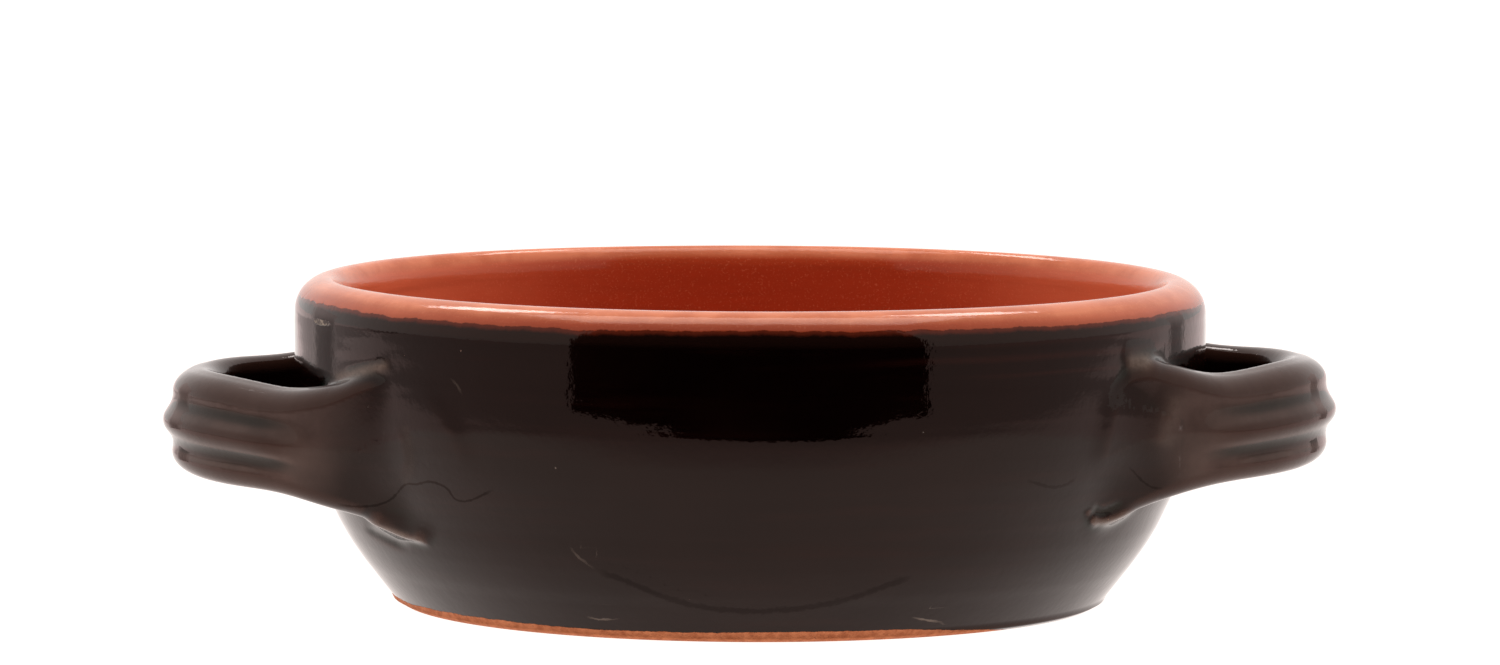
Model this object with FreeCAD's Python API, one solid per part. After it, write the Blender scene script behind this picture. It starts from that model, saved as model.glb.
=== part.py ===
import FreeCAD, Part
import math
import os

# Low round casserole with two strap handles: one piece of fired clay, glazed.
# Millimetres. Origin at the centre of the flat foot, +Z up, handles along X.

# ---------------------------------------------------------------- driving dimensions
RIM_DIAMETER = 160.0        # outside, just under the rim
HEIGHT = 57.0               # foot to the crest of the rim
FOOT_DIAMETER = 125.4       # flat foot, outside
FOOT_CORNER = 1.15          # small rounding between foot and wall
RIM_CREST_RADIUS = 74.3     # where the rim is highest
RIM_OUT_DROP = 5.8          # height of the outer rounding of the rim
MOUTH_RADIUS = 71.7         # inside of the wall just under the rim
RIM_IN_DROP = 4.4           # height of the inner rounding of the rim
FLOOR_THICKNESS = 6.2       # at the centre

STRAP_OUT_LEFT = 97.6       # axis to the middle of the left strap
STRAP_OUT_RIGHT = 97.5      # and of the right one
STRAP_CORNER = 3.3          # rounding of the strap's long edges
STRAP_TILT = 0.22           # slope of the strap's top, down towards the outside
SEAM_FILLET = 1.3           # clay smoothed into the corner between strap and wall

# the outside face of a full strap: height from the middle, of the half height, and how far it stands proud
RIB_PROFILE = [
    (-1.60, 0.30), (-0.80, 0.28), (-0.62, 0.28), (-0.47, 0.42), (-0.36, 0.85), (-0.27, 1.35), (-0.18, 1.66), (-0.06, 1.62),
    (0.06, 1.40), (0.17, 1.00), (0.28, 0.52), (0.38, 0.18), (0.50, 0.0), (0.65, -0.05), (1.0, 0.0), (1.6, 0.0),
]

R_RIM = RIM_DIAMETER / 2.0
R_FOOT = FOOT_DIAMETER / 2.0

# outer wall, radius and height, from the foot up to where the rim begins to round
OUTER_WALL = [
    (R_FOOT + 0.05, 1.3), (65.9, 5.3), (69.6, 10.25), (74.9, 20.5), (78.75, 30.75), (79.95, 41.0),
    (R_RIM, HEIGHT - RIM_OUT_DROP),
]
# inner wall and floor, from under the rim down to the middle of the floor
INNER_WALL = [
    (MOUTH_RADIUS, HEIGHT - RIM_IN_DROP), (71.8, 45.0), (70.7, 34.5), (67.6, 25.0), (62.6, 16.2), (55.6, 10.0),
    (45.0, 7.3), (26.0, 6.4), (0.0, FLOOR_THICKNESS),
]

# The strap's stations, from its front end in the wall, round the loop, to its back end:
# distance out from the axis, distance along Y, top, bottom, half thickness towards the bowl and away from it,
# strength of the rib, and how far the lower edge leans in with the wall.
LEFT_STRAP = [
    (49.0, -55.5, 42.0, 20.0, 1.0, 0.8, 0.0, 5.0),
    (55.5, -51.0, 44.4, 17.8, 1.6, 1.4, 0.0, 5.0),
    (61.5, -46.8, 45.3, 17.0, 2.4, 2.3, 0.0, 4.4),
    (67.5, -42.2, 43.8, 18.4, 3.2, 3.2, 0.0, 3.4),
    (73.5, -37.6, 41.2, 20.0, 3.7, 3.8, 0.0, 2.0),
    (79.5, -32.8, 39.6, 21.7, 3.9, 3.9, 0.3, 0.8),
    (86.3, -26.3, 40.2, 22.3, 3.9, 3.9, 1.0, 0.0),
    (92.6, -18.4, 40.7, 22.6, 3.9, 3.9, 1.0, 0.0),
    (96.5, -9.5, 40.7, 23.2, 3.9, 3.9, 1.0, 0.0),
    (STRAP_OUT_LEFT, 0.0, 40.5, 23.6, 3.9, 3.9, 1.0, 0.0),
    (96.5, 9.5, 40.6, 23.6, 3.9, 3.9, 1.0, 0.0),
    (92.6, 18.4, 40.6, 23.3, 3.9, 3.9, 1.0, 0.0),
    (86.3, 26.3, 40.4, 22.8, 3.9, 3.9, 1.0, 0.0),
    (79.5, 32.8, 40.9, 21.8, 3.9, 3.9, 0.3, 0.8),
    (73.5, 37.6, 42.4, 20.4, 3.7, 3.8, 0.0, 2.0),
    (67.5, 42.2, 44.2, 18.9, 3.2, 3.2, 0.0, 3.4),
    (61.5, 46.8, 45.2, 17.4, 2.4, 2.3, 0.0, 4.4),
    (55.5, 51.0, 44.2, 18.0, 1.6, 1.4, 0.0, 5.0),
    (49.0, 55.5, 42.0, 20.0, 1.0, 0.8, 0.0, 5.0),
]
# The right strap sits a little higher than the left one, as set on by hand.
RIGHT_STRAP = [
    (49.0, -55.5, 42.0, 21.0, 1.0, 0.8, 0.0, 5.0),
    (55.5, -51.0, 44.5, 19.5, 1.6, 1.4, 0.0, 5.0),
    (61.5, -46.8, 46.3, 19.0, 2.4, 2.3, 0.0, 4.4),
    (67.5, -42.2, 46.9, 20.4, 3.2, 3.2, 0.0, 3.4),
    (73.5, -37.6, 44.9, 22.5, 3.7, 3.8, 0.0, 2.0),
    (79.5, -32.8, 42.7, 24.0, 3.9, 3.9, 0.3, 0.8),
    (86.3, -26.3, 43.0, 24.7, 3.9, 3.9, 1.0, 0.0),
    (92.6, -18.4, 43.6, 25.1, 3.9, 3.9, 1.0, 0.0),
    (96.3, -9.5, 43.6, 25.6, 3.9, 3.9, 1.0, 0.0),
    (STRAP_OUT_RIGHT, 0.0, 43.3, 26.0, 3.9, 3.9, 1.0, 0.0),
    (96.3, 9.5, 43.2, 26.0, 3.9, 3.9, 1.0, 0.0),
    (92.6, 18.4, 43.0, 25.7, 3.9, 3.9, 1.0, 0.0),
    (86.3, 26.3, 42.7, 25.0, 3.9, 3.9, 1.0, 0.0),
    (79.5, 32.8, 43.2, 23.9, 3.9, 3.9, 0.3, 0.8),
    (73.5, 37.6, 44.7, 22.4, 3.7, 3.8, 0.0, 2.0),
    (67.5, 42.2, 46.0, 20.6, 3.2, 3.2, 0.0, 3.4),
    (61.5, 46.8, 46.2, 19.2, 2.4, 2.3, 0.0, 4.4),
    (55.5, 51.0, 44.6, 19.6, 1.6, 1.4, 0.0, 5.0),
    (49.0, 55.5, 42.0, 21.0, 1.0, 0.8, 0.0, 5.0),
]


def v(x, y, z):
    return FreeCAD.Vector(x, y, z)


def spline_edge(points, start=None, end=None):
    """A smooth edge through points in the XZ plane."""
    curve = Part.BSplineCurve()
    pts = [v(r, 0, z) for r, z in points]
    if start is not None:
        curve.interpolate(Points=pts, InitialTangent=v(start[0], 0, start[1]), FinalTangent=v(end[0], 0, end[1]))
    else:
        curve.interpolate(Points=pts)
    return curve.toShape()


def quarter(cr, cz, ra, rb, a0, a1):
    """Part of an ellipse in the XZ plane, drawn through close points."""
    n = 9
    pts = []
    for i in range(n):
        a = math.radians(a0 + (a1 - a0) * i / (n - 1.0))
        pts.append((cr + ra * math.cos(a), cz + rb * math.sin(a)))
    a, b = math.radians(a0), math.radians(a1)
    s = 1.0 if a1 > a0 else -1.0
    t0 = (-s * ra * math.sin(a), s * rb * math.cos(a))
    t1 = (-s * ra * math.sin(b), s * rb * math.cos(b))
    return spline_edge(pts, t0, t1)


def bowl_quarters():
    """The bowl's section, turned about the axis a quarter at a time."""
    z_rim = HEIGHT - RIM_OUT_DROP
    z_in = HEIGHT - RIM_IN_DROP
    first = OUTER_WALL[0]
    dr, dz = OUTER_WALL[1][0] - first[0], OUTER_WALL[1][1] - first[1]
    foot = Part.makeLine(v(0, 0, 0), v(R_FOOT - FOOT_CORNER, 0, 0))
    lift = FOOT_CORNER * 0.30
    corner_points = [(R_FOOT - FOOT_CORNER, 0.0), (R_FOOT - lift, lift), first]
    corner = spline_edge(corner_points, (1.0, 0.0), (dr, dz))
    wall = spline_edge(OUTER_WALL, (dr, dz), (0.0, 1.0))
    rim_out = quarter(RIM_CREST_RADIUS, z_rim, R_RIM - RIM_CREST_RADIUS, RIM_OUT_DROP, 0, 90)
    rim_in = quarter(RIM_CREST_RADIUS, z_in, RIM_CREST_RADIUS - MOUTH_RADIUS, RIM_IN_DROP, 90, 180)
    inside = spline_edge(INNER_WALL, (0.0, -1.0), (-1.0, 0.0))
    axis = Part.makeLine(v(0, 0, FLOOR_THICKNESS), v(0, 0, 0))
    section_face = Part.Face(Part.Wire([foot, corner, wall, rim_out, rim_in, inside, axis]))
    quarters = []
    for i in range(4):
        turned = section_face.copy()
        turned.rotate(v(0, 0, 0), v(0, 0, 1), 90.0 * i)
        quarters.append(turned.revolve(v(0, 0, 0), v(0, 0, 1), 90.0))
    return quarters


def rib_height(q):
    """How far the outside face stands proud at height q, read off a smooth curve through the profile."""
    xs = [p[0] for p in RIB_PROFILE]
    ys = [p[1] for p in RIB_PROFILE]
    q = max(xs[0], min(xs[-1], q))
    i = max(j for j in range(len(xs) - 1) if xs[j] <= q)

    def slope(j):
        if j == 0 or j == len(xs) - 1:
            return 0.0
        return (ys[j + 1] - ys[j - 1]) / (xs[j + 1] - xs[j - 1])

    h = xs[i + 1] - xs[i]
    t = (q - xs[i]) / h
    a, b = slope(i) * h, slope(i + 1) * h
    return ys[i] * (2 * t**3 - 3 * t**2 + 1) + a * (t**3 - 2 * t**2 + t) + ys[i + 1] * (3 * t**2 - 2 * t**3) + b * (t**3 - t**2)


def section(half, t_in, t_out, rib):
    """Points of the strap's section: distance away from the bowl, and height from its middle."""
    a = (t_in + t_out) / 2.0
    mid = (t_out - t_in) / 2.0
    rc = min(STRAP_CORNER, 0.96 * min(a, half))
    flat = half - rc
    pts = []
    n_face = 17
    for i in range(n_face):
        w = flat - 2.0 * flat * i / (n_face - 1.0)
        pts.append((mid + a + rib * rib_height(w / half), w))
    for deg in (-22.5, -45.0, -67.5):
        d = math.radians(deg)
        pts.append((mid + a - rc + rc * math.cos(d), -flat + rc * math.sin(d)))
    pts.append((mid, -half))
    for deg in (-112.5, -135.0, -157.5):
        d = math.radians(deg)
        pts.append((mid - a + rc + rc * math.cos(d), -flat + rc * math.sin(d)))
    for i in range(5):
        pts.append((mid - a, -flat + 2.0 * flat * i / 4.0))
    for deg in (157.5, 135.0, 112.5):
        d = math.radians(deg)
        pts.append((mid - a + rc + rc * math.cos(d), flat + rc * math.sin(d)))
    pts.append((mid, half))
    for deg in (67.5, 45.0, 22.5):
        d = math.radians(deg)
        pts.append((mid + a - rc + rc * math.cos(d), flat + rc * math.sin(d)))
    return pts


def strap(stations, side):
    """A strap handle lofted through its stations. side is -1 on the left and +1 on the right."""
    wires = []
    last = len(stations) - 1
    for i, (out, along, top, bottom, t_in, t_out, rib, lean) in enumerate(stations):
        p, q = stations[max(i - 1, 0)], stations[min(i + 1, last)]
        tx, ty = q[0] - p[0], q[1] - p[1]
        length = math.hypot(tx, ty)
        nx, ny = ty / length, -tx / length      # points away from the bowl
        half, middle = (top - bottom) / 2.0, (top + bottom) / 2.0
        pts = []
        for n, w in section(half, t_in, t_out, rib):
            w = w - STRAP_TILT * n * max(0.0, min(1.0, w / half))
            n = n - lean * max(-1.0, min(1.6, -w / half))
            pts.append(v(side * (out + nx * n), along + ny * n, middle + w))
        curve = Part.BSplineCurve()
        curve.interpolate(Points=pts, PeriodicFlag=True)
        wires.append(Part.Wire([curve.toShape()]))
    return Part.makeLoft(wires, True, False)


def casserole():
    """The bowl in four quarters and the two straps, joined into one solid, with the seams rounded."""
    left = strap(LEFT_STRAP, -1.0)
    right = strap(RIGHT_STRAP, 1.0)
    quarters = bowl_quarters()
    whole = quarters[0].fuse(quarters[1:] + [left, right])
    seams = []
    for edge in whole.Edges:
        mid = edge.valueAt((edge.FirstParameter + edge.LastParameter) / 2.0)
        r = math.hypot(mid.x, mid.y)
        at_strap_end = abs(mid.x) > 30.0 and abs(mid.y) > 20.0 and 60.0 < r < 84.0 and 10.0 < mid.z < 48.0
        if at_strap_end and 60.0 < edge.Length < 110.0:
            seams.append(edge)
    rounded = whole.makeFillet(SEAM_FILLET, seams)
    print("seams", [round(edge.Length, 1) for edge in seams])
    return rounded.Solids[0] if len(rounded.Solids) == 1 else rounded


os.makedirs("parts", exist_ok=True)
shape = casserole()
print("valid", shape.isValid(), "solids", len(shape.Solids), "faces", len(shape.Faces))
print("volume", round(shape.Volume, 1), "box", shape.BoundBox)
shape.exportStep("parts/casserole.step")
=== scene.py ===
import math

import bpy
import numpy as np
from mathutils import Matrix, Vector


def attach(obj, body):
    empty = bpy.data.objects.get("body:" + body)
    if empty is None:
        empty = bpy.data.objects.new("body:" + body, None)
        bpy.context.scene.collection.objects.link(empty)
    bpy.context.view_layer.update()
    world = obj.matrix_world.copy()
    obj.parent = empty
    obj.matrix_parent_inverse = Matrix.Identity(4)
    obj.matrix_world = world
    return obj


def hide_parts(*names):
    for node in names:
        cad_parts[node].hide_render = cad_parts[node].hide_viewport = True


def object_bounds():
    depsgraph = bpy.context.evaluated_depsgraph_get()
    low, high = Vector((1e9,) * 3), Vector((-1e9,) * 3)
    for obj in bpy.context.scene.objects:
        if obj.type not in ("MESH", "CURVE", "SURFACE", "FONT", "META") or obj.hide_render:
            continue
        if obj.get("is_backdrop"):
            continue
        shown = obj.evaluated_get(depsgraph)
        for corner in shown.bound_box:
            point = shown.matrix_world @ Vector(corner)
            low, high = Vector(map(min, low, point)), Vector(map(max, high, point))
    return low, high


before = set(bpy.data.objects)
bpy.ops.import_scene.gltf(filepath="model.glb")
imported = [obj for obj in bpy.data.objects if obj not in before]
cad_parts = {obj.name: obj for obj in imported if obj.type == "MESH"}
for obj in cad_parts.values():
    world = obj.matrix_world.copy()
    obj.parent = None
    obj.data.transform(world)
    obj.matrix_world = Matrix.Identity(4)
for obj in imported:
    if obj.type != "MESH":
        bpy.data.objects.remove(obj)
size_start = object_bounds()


# ================================================================ smooth curves and distances (millimetres)
def spline_t(t, y, d0=None, d1=None):
    """Cubic spline through y at t; d0 and d1 fix the slopes at the ends."""
    t = np.asarray(t, float)
    y = np.asarray(y, float)
    if y.ndim == 1:
        y = y[:, None]
    n = len(t)
    h = np.diff(t)
    A = np.zeros((n, n))
    B = np.zeros((n, y.shape[1]))
    for i in range(1, n - 1):
        A[i, i - 1], A[i, i], A[i, i + 1] = h[i - 1], 2 * (h[i - 1] + h[i]), h[i]
        B[i] = 6 * ((y[i + 1] - y[i]) / h[i] - (y[i] - y[i - 1]) / h[i - 1])
    if d0 is None:
        A[0, 0] = 1
    else:
        A[0, 0], A[0, 1] = 2 * h[0], h[0]
        B[0] = 6 * ((y[1] - y[0]) / h[0] - np.asarray(d0, float))
    if d1 is None:
        A[-1, -1] = 1
    else:
        A[-1, -1], A[-1, -2] = 2 * h[-1], h[-1]
        B[-1] = 6 * (np.asarray(d1, float) - (y[-1] - y[-2]) / h[-1])
    M = np.linalg.solve(A, B)

    def f(x):
        x = np.asarray(x, float)
        i = np.clip(np.searchsorted(t, x) - 1, 0, n - 2)
        hh = h[i][..., None]
        a = (t[i + 1] - x)[..., None]
        b = (x - t[i])[..., None]
        return (M[i] * a ** 3 / (6 * hh) + M[i + 1] * b ** 3 / (6 * hh)
                + (y[i] / hh - M[i] * hh / 6) * a + (y[i + 1] / hh - M[i + 1] * hh / 6) * b)
    return f


def spline(pts, d0=None, d1=None):
    y = np.asarray(pts, float)
    t = np.concatenate([[0], np.cumsum(np.sqrt((np.diff(y[:, :2], axis=0) ** 2).sum(1)))])
    return t, spline_t(t, y, d0, d1)


class Line:
    """A fine polyline in a plane. near() gives the length along it and the signed distance, positive on its right."""
    def __init__(self, pts, cell=0.5, pad=12.0, window=5):
        p = np.asarray(pts, float)
        keep = np.r_[True, np.sqrt((np.diff(p, axis=0) ** 2).sum(1)) > 1e-6]
        self.p = p = p[keep]
        self.d = np.diff(p, axis=0)
        self.l = np.sqrt((self.d ** 2).sum(1))
        self.u = self.d / self.l[:, None]
        self.s = np.concatenate([[0], np.cumsum(self.l)])
        self.lo = p.min(0) - pad
        self.cell = cell
        self.window = window
        n = np.ceil((p.max(0) + pad - self.lo) / cell).astype(int) + 1
        self.n = n
        gx, gy = np.meshgrid(self.lo[0] + cell * np.arange(n[0]), self.lo[1] + cell * np.arange(n[1]), indexing="ij")
        q = np.stack([gx.ravel(), gy.ravel()], 1)
        mid = (p[1:] + p[:-1]) / 2
        near = np.empty(len(q), np.int32)
        for a in range(0, len(q), 20000):
            b = q[a:a + 20000]
            near[a:a + 20000] = np.argmin((b[:, :1] - mid[None, :, 0]) ** 2 + (b[:, 1:] - mid[None, :, 1]) ** 2, axis=1)
        self.grid = near.reshape(n)

    def near(self, x, y):
        i = np.clip(np.rint((x - self.lo[0]) / self.cell).astype(int), 0, self.n[0] - 1)
        j = np.clip(np.rint((y - self.lo[1]) / self.cell).astype(int), 0, self.n[1] - 1)
        k0 = self.grid[i, j]
        best = np.full(np.shape(x), np.inf)
        side = np.zeros(np.shape(x))
        along = np.zeros(np.shape(x))
        last = len(self.l) - 1
        for w in range(-self.window, self.window + 1):
            k = np.clip(k0 + w, 0, last)
            ax, ay = x - self.p[k, 0], y - self.p[k, 1]
            tt = np.clip(ax * self.u[k, 0] + ay * self.u[k, 1], 0, self.l[k])
            ex, ey = ax - tt * self.u[k, 0], ay - tt * self.u[k, 1]
            dd = ex * ex + ey * ey
            m = dd < best
            best = np.where(m, dd, best)
            side = np.where(m, ax * self.u[k, 1] - ay * self.u[k, 0], side)
            along = np.where(m, self.s[k] + tt, along)
        return along, np.sqrt(best) * np.where(side >= 0, 1.0, -1.0)


def path(pts, step=0.25):
    """A smooth fine polyline through a few points."""
    t, f = spline(pts)
    return f(np.linspace(0, t[-1], max(int(t[-1] / step), 8)))


def smin(a, b, k):
    h = np.maximum(k - np.abs(a - b), 0) / k
    return np.minimum(a, b) - h * h * h * k / 6


def smoothstep(x, a, b):
    t = np.clip((x - a) / (b - a), 0, 1)
    return t * t * (3 - 2 * t)


def arc(cx, cz, ra, rb, a0, a1, n):
    t = np.linspace(math.radians(a0), math.radians(a1), n)
    return np.stack([cx + ra * np.cos(t), cz + rb * np.sin(t)], 1)


# ================================================================ the bowl's section (radius, height)
OUTER = [(62.75, 1.3), (65.9, 5.3), (69.6, 10.25), (74.9, 20.5), (78.75, 30.75), (79.95, 41.0), (80.0, 51.2)]
INNER = [(71.7, 52.6), (71.8, 45.0), (70.7, 34.5), (67.6, 25.0), (62.6, 16.2), (55.6, 10.0), (45.0, 7.3), (26.0, 6.4), (0.0, 6.2)]


def section():
    base = np.stack([np.linspace(0, 61.6, 90), np.zeros(90)], 1)
    corner = arc(61.6, 1.2, 1.15, 1.2, -90, -20, 14)
    t, f = spline(OUTER, None, (0.0, 1.0))
    wall = f(np.linspace(0, t[-1], 230))
    rim_out = arc(74.3, 51.2, 5.7, 5.8, 0, 90, 70)
    rim_in = arc(74.3, 52.6, 2.6, 4.4, 90, 180, 50)
    t, f = spline(INNER, (0.0, -1.0), (-1.0, 0.0))
    inside = f(np.linspace(0, t[-1], 420))
    return np.concatenate([base, corner, wall, rim_out, rim_in, inside])


# ================================================================ the straps
# distance out from the axis, distance along Y, top, bottom, half thickness inward, outward, strength of the rib, lean
LEFT = [
    (49.0, -55.5, 41.6, 24.0, 4.0, -2.8, 0.0, 4.0),
    (55.5, -51.0, 43.2, 19.6, 3.0, -1.0, 0.0, 4.4),
    (61.5, -46.8, 43.7, 17.6, 2.4, 1.6, 0.0, 4.4),
    (67.5, -42.2, 42.1, 18.5, 3.2, 3.1, 0.0, 3.4),
    (73.5, -37.6, 40.6, 20.1, 3.7, 3.8, 0.15, 2.0),
    (79.5, -32.8, 39.8, 21.7, 3.9, 3.9, 0.85, 0.8),
    (86.3, -26.3, 40.2, 22.3, 3.9, 3.9, 1.0, 0.0),
    (92.6, -18.4, 40.7, 22.6, 3.9, 3.9, 1.0, 0.0),
    (96.5, -9.5, 40.7, 23.2, 3.9, 3.9, 1.0, 0.0),
    (97.6, 0.0, 40.5, 23.6, 3.9, 3.9, 1.0, 0.0),
    (96.5, 9.5, 40.6, 23.6, 3.9, 3.9, 1.0, 0.0),
    (92.6, 18.4, 40.6, 23.3, 3.9, 3.9, 1.0, 0.0),
    (86.3, 26.3, 40.4, 22.8, 3.9, 3.9, 1.0, 0.0),
    (79.5, 32.8, 40.9, 21.8, 3.9, 3.9, 0.3, 0.8),
    (73.5, 37.6, 42.2, 20.4, 3.7, 3.8, 0.0, 2.0),
    (67.5, 42.2, 43.6, 18.9, 3.2, 3.0, 0.0, 3.4),
    (61.5, 46.8, 44.6, 17.8, 2.4, 1.7, 0.0, 4.4),
    (55.5, 51.0, 44.0, 19.6, 3.0, -1.0, 0.0, 4.4),
    (49.0, 55.5, 42.0, 24.0, 4.0, -2.8, 0.0, 4.0),
]
RIGHT = [
    (49.0, -55.5, 33.0, 24.0, 4.0, -2.8, 0.0, 4.0),
    (55.5, -51.0, 38.5, 20.6, 3.0, -1.0, 0.0, 4.6),
    (61.5, -46.8, 44.4, 19.0, 2.4, 1.3, 0.0, 4.4),
    (67.5, -42.2, 46.2, 20.3, 3.2, 2.9, 0.0, 3.4),
    (73.5, -37.6, 44.7, 22.5, 3.7, 3.8, 0.10, 2.0),
    (79.5, -32.8, 43.1, 24.0, 3.9, 3.9, 0.70, 0.8),
    (86.3, -26.3, 43.0, 24.7, 3.9, 3.9, 1.0, 0.0),
    (92.6, -18.4, 43.6, 25.1, 3.9, 3.9, 1.0, 0.0),
    (96.3, -9.5, 43.6, 25.6, 3.9, 3.9, 1.0, 0.0),
    (97.5, 0.0, 43.3, 26.0, 3.9, 3.9, 1.0, 0.0),
    (96.3, 9.5, 43.2, 26.0, 3.9, 3.9, 1.0, 0.0),
    (92.6, 18.4, 43.0, 25.7, 3.9, 3.9, 1.0, 0.0),
    (86.3, 26.3, 42.7, 25.0, 3.9, 3.9, 1.0, 0.0),
    (79.5, 32.8, 43.2, 23.9, 3.9, 3.9, 0.3, 0.8),
    (73.5, 37.6, 44.5, 22.4, 3.7, 3.8, 0.0, 2.0),
    (67.5, 42.2, 45.2, 20.6, 3.2, 2.9, 0.0, 3.4),
    (61.5, 46.8, 44.0, 19.4, 2.4, 1.5, 0.0, 4.4),
    (55.5, 51.0, 40.0, 20.6, 3.0, -0.8, 0.0, 4.6),
    (49.0, 55.5, 38.0, 24.0, 4.0, -2.8, 0.0, 4.0),
]
# outside face of a full strap: height from the middle, of the half height, and how far it stands proud
RIB = [(-1.6, 0.30), (-0.85, 0.26), (-0.66, 0.10), (-0.50, -0.06), (-0.40, 0.06), (-0.31, 0.42), (-0.22, 1.02), (-0.13, 1.50), (-0.04, 1.68),
       (0.05, 1.60), (0.14, 1.22), (0.23, 0.74), (0.32, 0.32), (0.42, 0.04), (0.55, -0.04), (0.75, -0.02), (1.0, 0.0), (1.6, 0.0)]
TILT = 0.22
BLEND = 5.0


class Handle:
    def __init__(self, rows, sign, corner=3.3):
        rows = np.asarray(rows, float)
        t, f = spline(rows)
        self.line = Line(f(np.linspace(0, t[-1], 640))[:, :2], pad=16.0)
        s = np.interp(t, np.linspace(0, t[-1], 640), self.line.s[:640])
        self.f = spline_t(s, rows[:, 2:])
        self.sign = sign
        self.corner = corner
        rr = np.array(RIB)
        self.prof = spline_t(rr[:, 0], rr[:, 1])

    def __call__(self, x, y, z):
        s, n = self.line.near(self.sign * x, y)
        top, bot, tin, tout, rib, lean = np.moveaxis(self.f(s), -1, 0)
        b = (top - bot) / 2
        w = z - (top + bot) / 2
        q0 = -w / b
        n = n + lean * np.where(q0 < 0, np.maximum(q0, -1.2) * 0.45, np.minimum(q0, 1.6))
        mid = (tout - tin) / 2
        a = (tout + tin) / 2
        m = n - mid
        q = np.clip(w / b, -1.6, 1.6)
        m = np.where(m > 0, m - rib * self.prof(q)[..., 0] * np.clip(m / 2.0, 0, 1), m)
        w = w + TILT * m * np.clip(w / b, 0, 1)
        rc = np.minimum(self.corner, np.minimum(a, b) * 0.96)
        qx = np.abs(m) - (a - rc)
        qz = np.abs(w) - (b - rc)
        return np.sqrt(np.maximum(qx, 0) ** 2 + np.maximum(qz, 0) ** 2) + np.minimum(np.maximum(qx, qz), 0) - rc


# ================================================================ what the potter's fingers left on the wall (X, Z in front view)
class Mark:
    """A ridge, a groove or a step that follows a line on the wall. Pot.marks picks the front or the back of the pot."""
    def __init__(self, pts, height, width, fade=(2.0, 2.0), kind="ridge", width2=None):
        self.line = Line(path(pts), cell=0.4, pad=9.0, window=4)
        self.height, self.width, self.fade, self.kind = height, width, fade, kind
        self.width2 = width2 or width
        p = np.asarray(pts, float)
        self.lo = p.min(0) - 8.5
        self.hi = p.max(0) + 8.5

    def __call__(self, x, z):
        s, d = self.line.near(x, z)
        length = self.line.s[-1]
        a = smoothstep(s, 0, self.fade[0]) * (1 - smoothstep(s, length - self.fade[1], length))
        w = np.where(d > 0, self.width, self.width2)
        if self.kind == "ridge":
            f = np.exp(-(d / w) ** 2)
        else:           # a step: up at once on the right of the line, then down again slowly
            f = np.where(d > 0, np.exp(-(d / self.width) ** 2), np.exp(-(d / self.width2) ** 2))
        return self.height * a * f


MARKS = [
    # left: the tail smeared down from the strap's lower edge, the pad's edge, the smear beyond it
    Mark([(-66.2, 18.7), (-63.1, 17.3), (-60.4, 16.3), (-58.4, 15.8), (-56.4, 15.6), (-53.5, 14.6)], 0.95, 0.75, (3.0, 3.5), "step", 2.6),
    Mark([(-66.7, 15.9), (-63.4, 15.0), (-60.5, 14.2), (-57.5, 13.6)], -0.35, 0.9, (2.5, 3.0)),
    Mark([(-61.4, 36.6), (-59.9, 34.6), (-59.0, 32.4), (-58.7, 30.4), (-58.8, 28.6), (-59.6, 26.6), (-61.5, 24.8), (-64.2, 23.0)], 0.26, 5.0, (4.5, 5.0), "step", 1.6),
    Mark([(-57.8, 44.2), (-55.6, 41.2), (-52.9, 38.0), (-51.0, 35.1), (-49.3, 31.2), (-48.5, 27.5)], 0.32, 7.5, (9.0, 6.0), "step", 2.5),
    Mark([(-70.4, 42.3), (-66.4, 43.9), (-63.0, 45.1), (-60.2, 45.6)], 0.20, 1.2, (3.0, 2.5)),
    # right: the lump where the strap begins, the pressed band, the curled tail
    Mark([(62.6, 46.4), (65.3, 46.6), (68.0, 46.4), (71.0, 45.8)], 0.45, 2.2, (2.4, 3.0)),
    Mark([(65.0, 43.4), (63.2, 40.4), (62.2, 36.4), (61.0, 31.5), (59.8, 27.0)], 0.62, 2.6, (7.0, 6.0), "step", 7.5),
    Mark([(72.2, 43.0), (71.5, 39.5), (70.6, 35.5), (69.8, 31.5), (69.2, 27.0)], 0.34, 2.3, (6.0, 6.0)),
    Mark([(57.8, 19.7), (59.9, 19.0), (61.7, 19.1), (63.8, 19.8), (66.5, 21.0)], 0.60, 0.9, (1.2, 3.5)),
    Mark([(58.2, 21.9), (59.9, 20.9), (61.9, 21.3), (64.4, 22.4)], -0.26, 0.65, (1.2, 2.5)),
    Mark([(57.6, 21.6), (58.0, 19.8), (59.4, 17.9)], 0.20, 0.7, (0.8, 0.8)),
    # the shallow curve a finger left low on the front
    Mark([(-31.7, 15.1), (-25.5, 12.6), (-19.9, 10.7), (-13.9, 8.2), (-6.1, 6.4), (1.0, 5.95), (8.8, 6.5), (15.9, 7.8), (21.9, 9.9), (27.0, 11.6)], 0.05, 1.6, (8.0, 8.0)),
]
BACK = [0, 1, 2, 3, 5, 6, 7, 8]
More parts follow.
